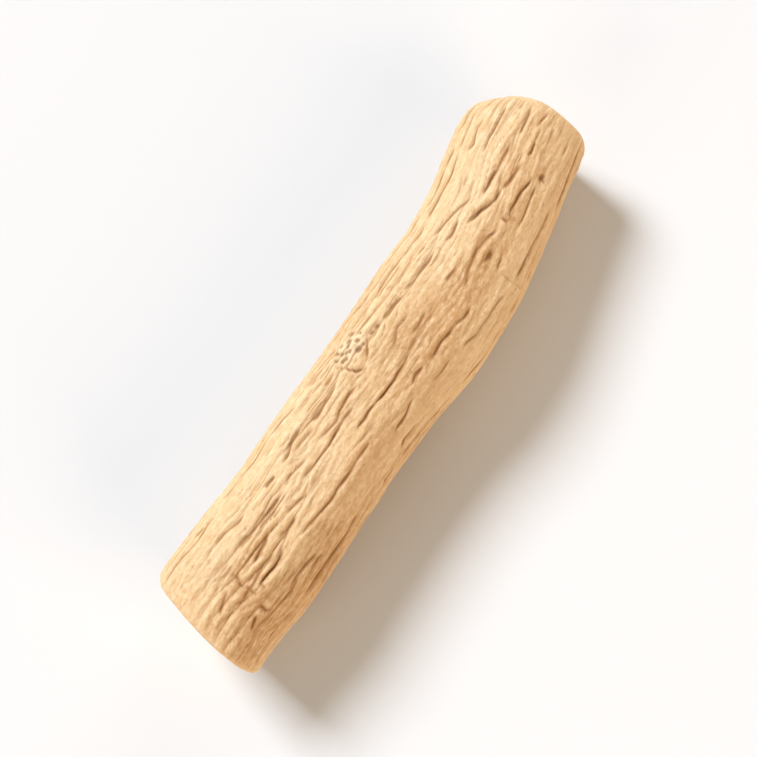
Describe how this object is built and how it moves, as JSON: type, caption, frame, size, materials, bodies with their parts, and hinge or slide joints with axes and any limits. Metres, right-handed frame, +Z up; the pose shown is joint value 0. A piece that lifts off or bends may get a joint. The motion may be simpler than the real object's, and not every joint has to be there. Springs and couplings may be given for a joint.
{
  "type": "codonopsis root",
  "caption": "Cut length of dried codonopsis root lying on its side: wrinkled pale bark with a pitted rootlet scar, a slight bend and a slanting cut at each end.",
  "frame": {"origin": "on the surface it rests on, under the middle of its box", "axes": "+X along the root towards the end with the worn round corner, +Z up, the pitted rootlet scar on the +Y side of its upper face"},
  "size_m": [0.06, 0.0152, 0.0119],
  "materials": {
    "dry_root": "matte dry bark with paler end grain"
  },
  "bodies": {
    "root": {"codonopsis_root": "dry_root"}
  },
  "joints": []
}
